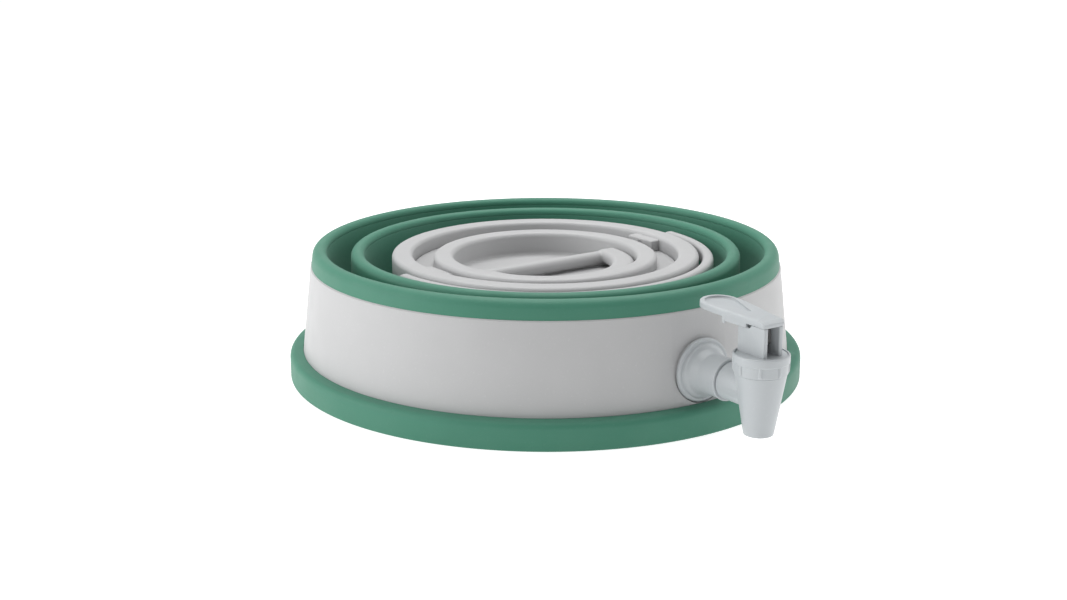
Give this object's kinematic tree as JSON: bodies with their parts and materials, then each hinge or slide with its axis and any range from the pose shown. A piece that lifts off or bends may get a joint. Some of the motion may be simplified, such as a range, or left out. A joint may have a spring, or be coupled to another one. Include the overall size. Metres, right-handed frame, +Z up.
{
  "type": "collapsible water container",
  "caption": "Round collapsible camping water container, folded flat, with silicone folds, stiff base and collar, recessed screw lid, half-ring bail and a lever tap.",
  "frame": {"origin": "centre of the flat underside, on the container's own axis", "axes": "+Z up along the container's axis; the tap points along -Y; the bail and the lid grip pivot about lines along X"},
  "size_m": [0.28, 0.3254, 0.0697],
  "materials": {
    "grey_shell": "matte, fine grain",
    "green_silicone": "matte silicone",
    "tap_plastic": "satin",
    "seal_silicone": "matte silicone",
    "steel": "bright drawn"
  },
  "bodies": {
    "base": {"base_cup": "grey_shell", "base_ring": "green_silicone", "outer_rim": "green_silicone", "lower_fold_web": "green_silicone", "outlet_outer_gasket": "seal_silicone", "outlet_inner_gasket": "seal_silicone", "outlet_lock_nut": "tap_plastic", "outlet_socket": "tap_plastic", "tap_body": "tap_plastic", "neck_seal": "seal_silicone", "bonnet_nut": "tap_plastic"},
    "middle": {"middle_band": "green_silicone", "upper_fold_web": "green_silicone"},
    "top": {"top_band": "green_silicone", "collar": "grey_shell", "neck_ring": "grey_shell", "bail_pins": "steel"},
    "bail": {"bail": "grey_shell"},
    "lid_seal": {"cap_gasket": "seal_silicone"},
    "lid": {"cap": "grey_shell", "grip_pins": "steel"},
    "grip": {"cap_grip": "grey_shell"},
    "lever_mount": {"lever_mount": "tap_plastic", "stem_seal": "seal_silicone", "return_spring": "steel"},
    "stem": {"valve_stem": "tap_plastic", "seat_plug": "seal_silicone", "lever_pin": "steel"},
    "lever": {"tap_lever": "tap_plastic"}
  },
  "joints": [
    {"name": "lower_fold", "type": "slide", "parent": "base", "child": "middle", "axis": [0, 0, 1], "range_m": [0, 0.112], "deforming": ["lower_fold_web"]},
    {"name": "upper_fold", "type": "slide", "parent": "middle", "child": "top", "axis": [0, 0, 1], "range_m": [0, 0.108], "deforming": ["upper_fold_web"]},
    {"name": "bail_swing", "type": "hinge", "parent": "top", "child": "bail", "pos_m": [0, 0, 0.06], "axis": [-1, 0, 0], "range_deg": [0, 180]},
    {"name": "lid_lift", "type": "slide", "parent": "top", "child": "lid_seal", "axis": [0, 0, 1], "range_m": [0, 0.06]},
    {"name": "lid_turn", "type": "hinge", "parent": "lid_seal", "child": "lid", "pos_m": [0, 0, 0.06], "axis": [0, 0, 1], "range_deg": [0, 45]},
    {"name": "grip_fold", "type": "hinge", "parent": "lid", "child": "grip", "pos_m": [0, 0, 0.0554], "axis": [-1, 0, 0], "range_deg": [0, 90]},
    {"name": "lever_swivel", "type": "hinge", "parent": "base", "child": "lever_mount", "pos_m": [0, -0.172, 0.047], "axis": [0, 0, 1], "continuous": true},
    {"name": "stem_lift", "type": "slide", "parent": "lever_mount", "child": "stem", "axis": [0, 0, 1], "range_m": [0, 0.004], "deforming": ["return_spring"]},
    {"name": "lever_tilt", "type": "hinge", "parent": "stem", "child": "lever", "pos_m": [0, -0.172, 0.0595], "axis": [1, 0, 0], "range_deg": [0, 25], "stiffness_Nm_per_rad": 0.05, "springref_deg": -11.46}
  ],
  "couplings": [
    {"joint": "stem_lift", "follows": "lever_tilt", "m_per_rad": 0.009}
  ]
}
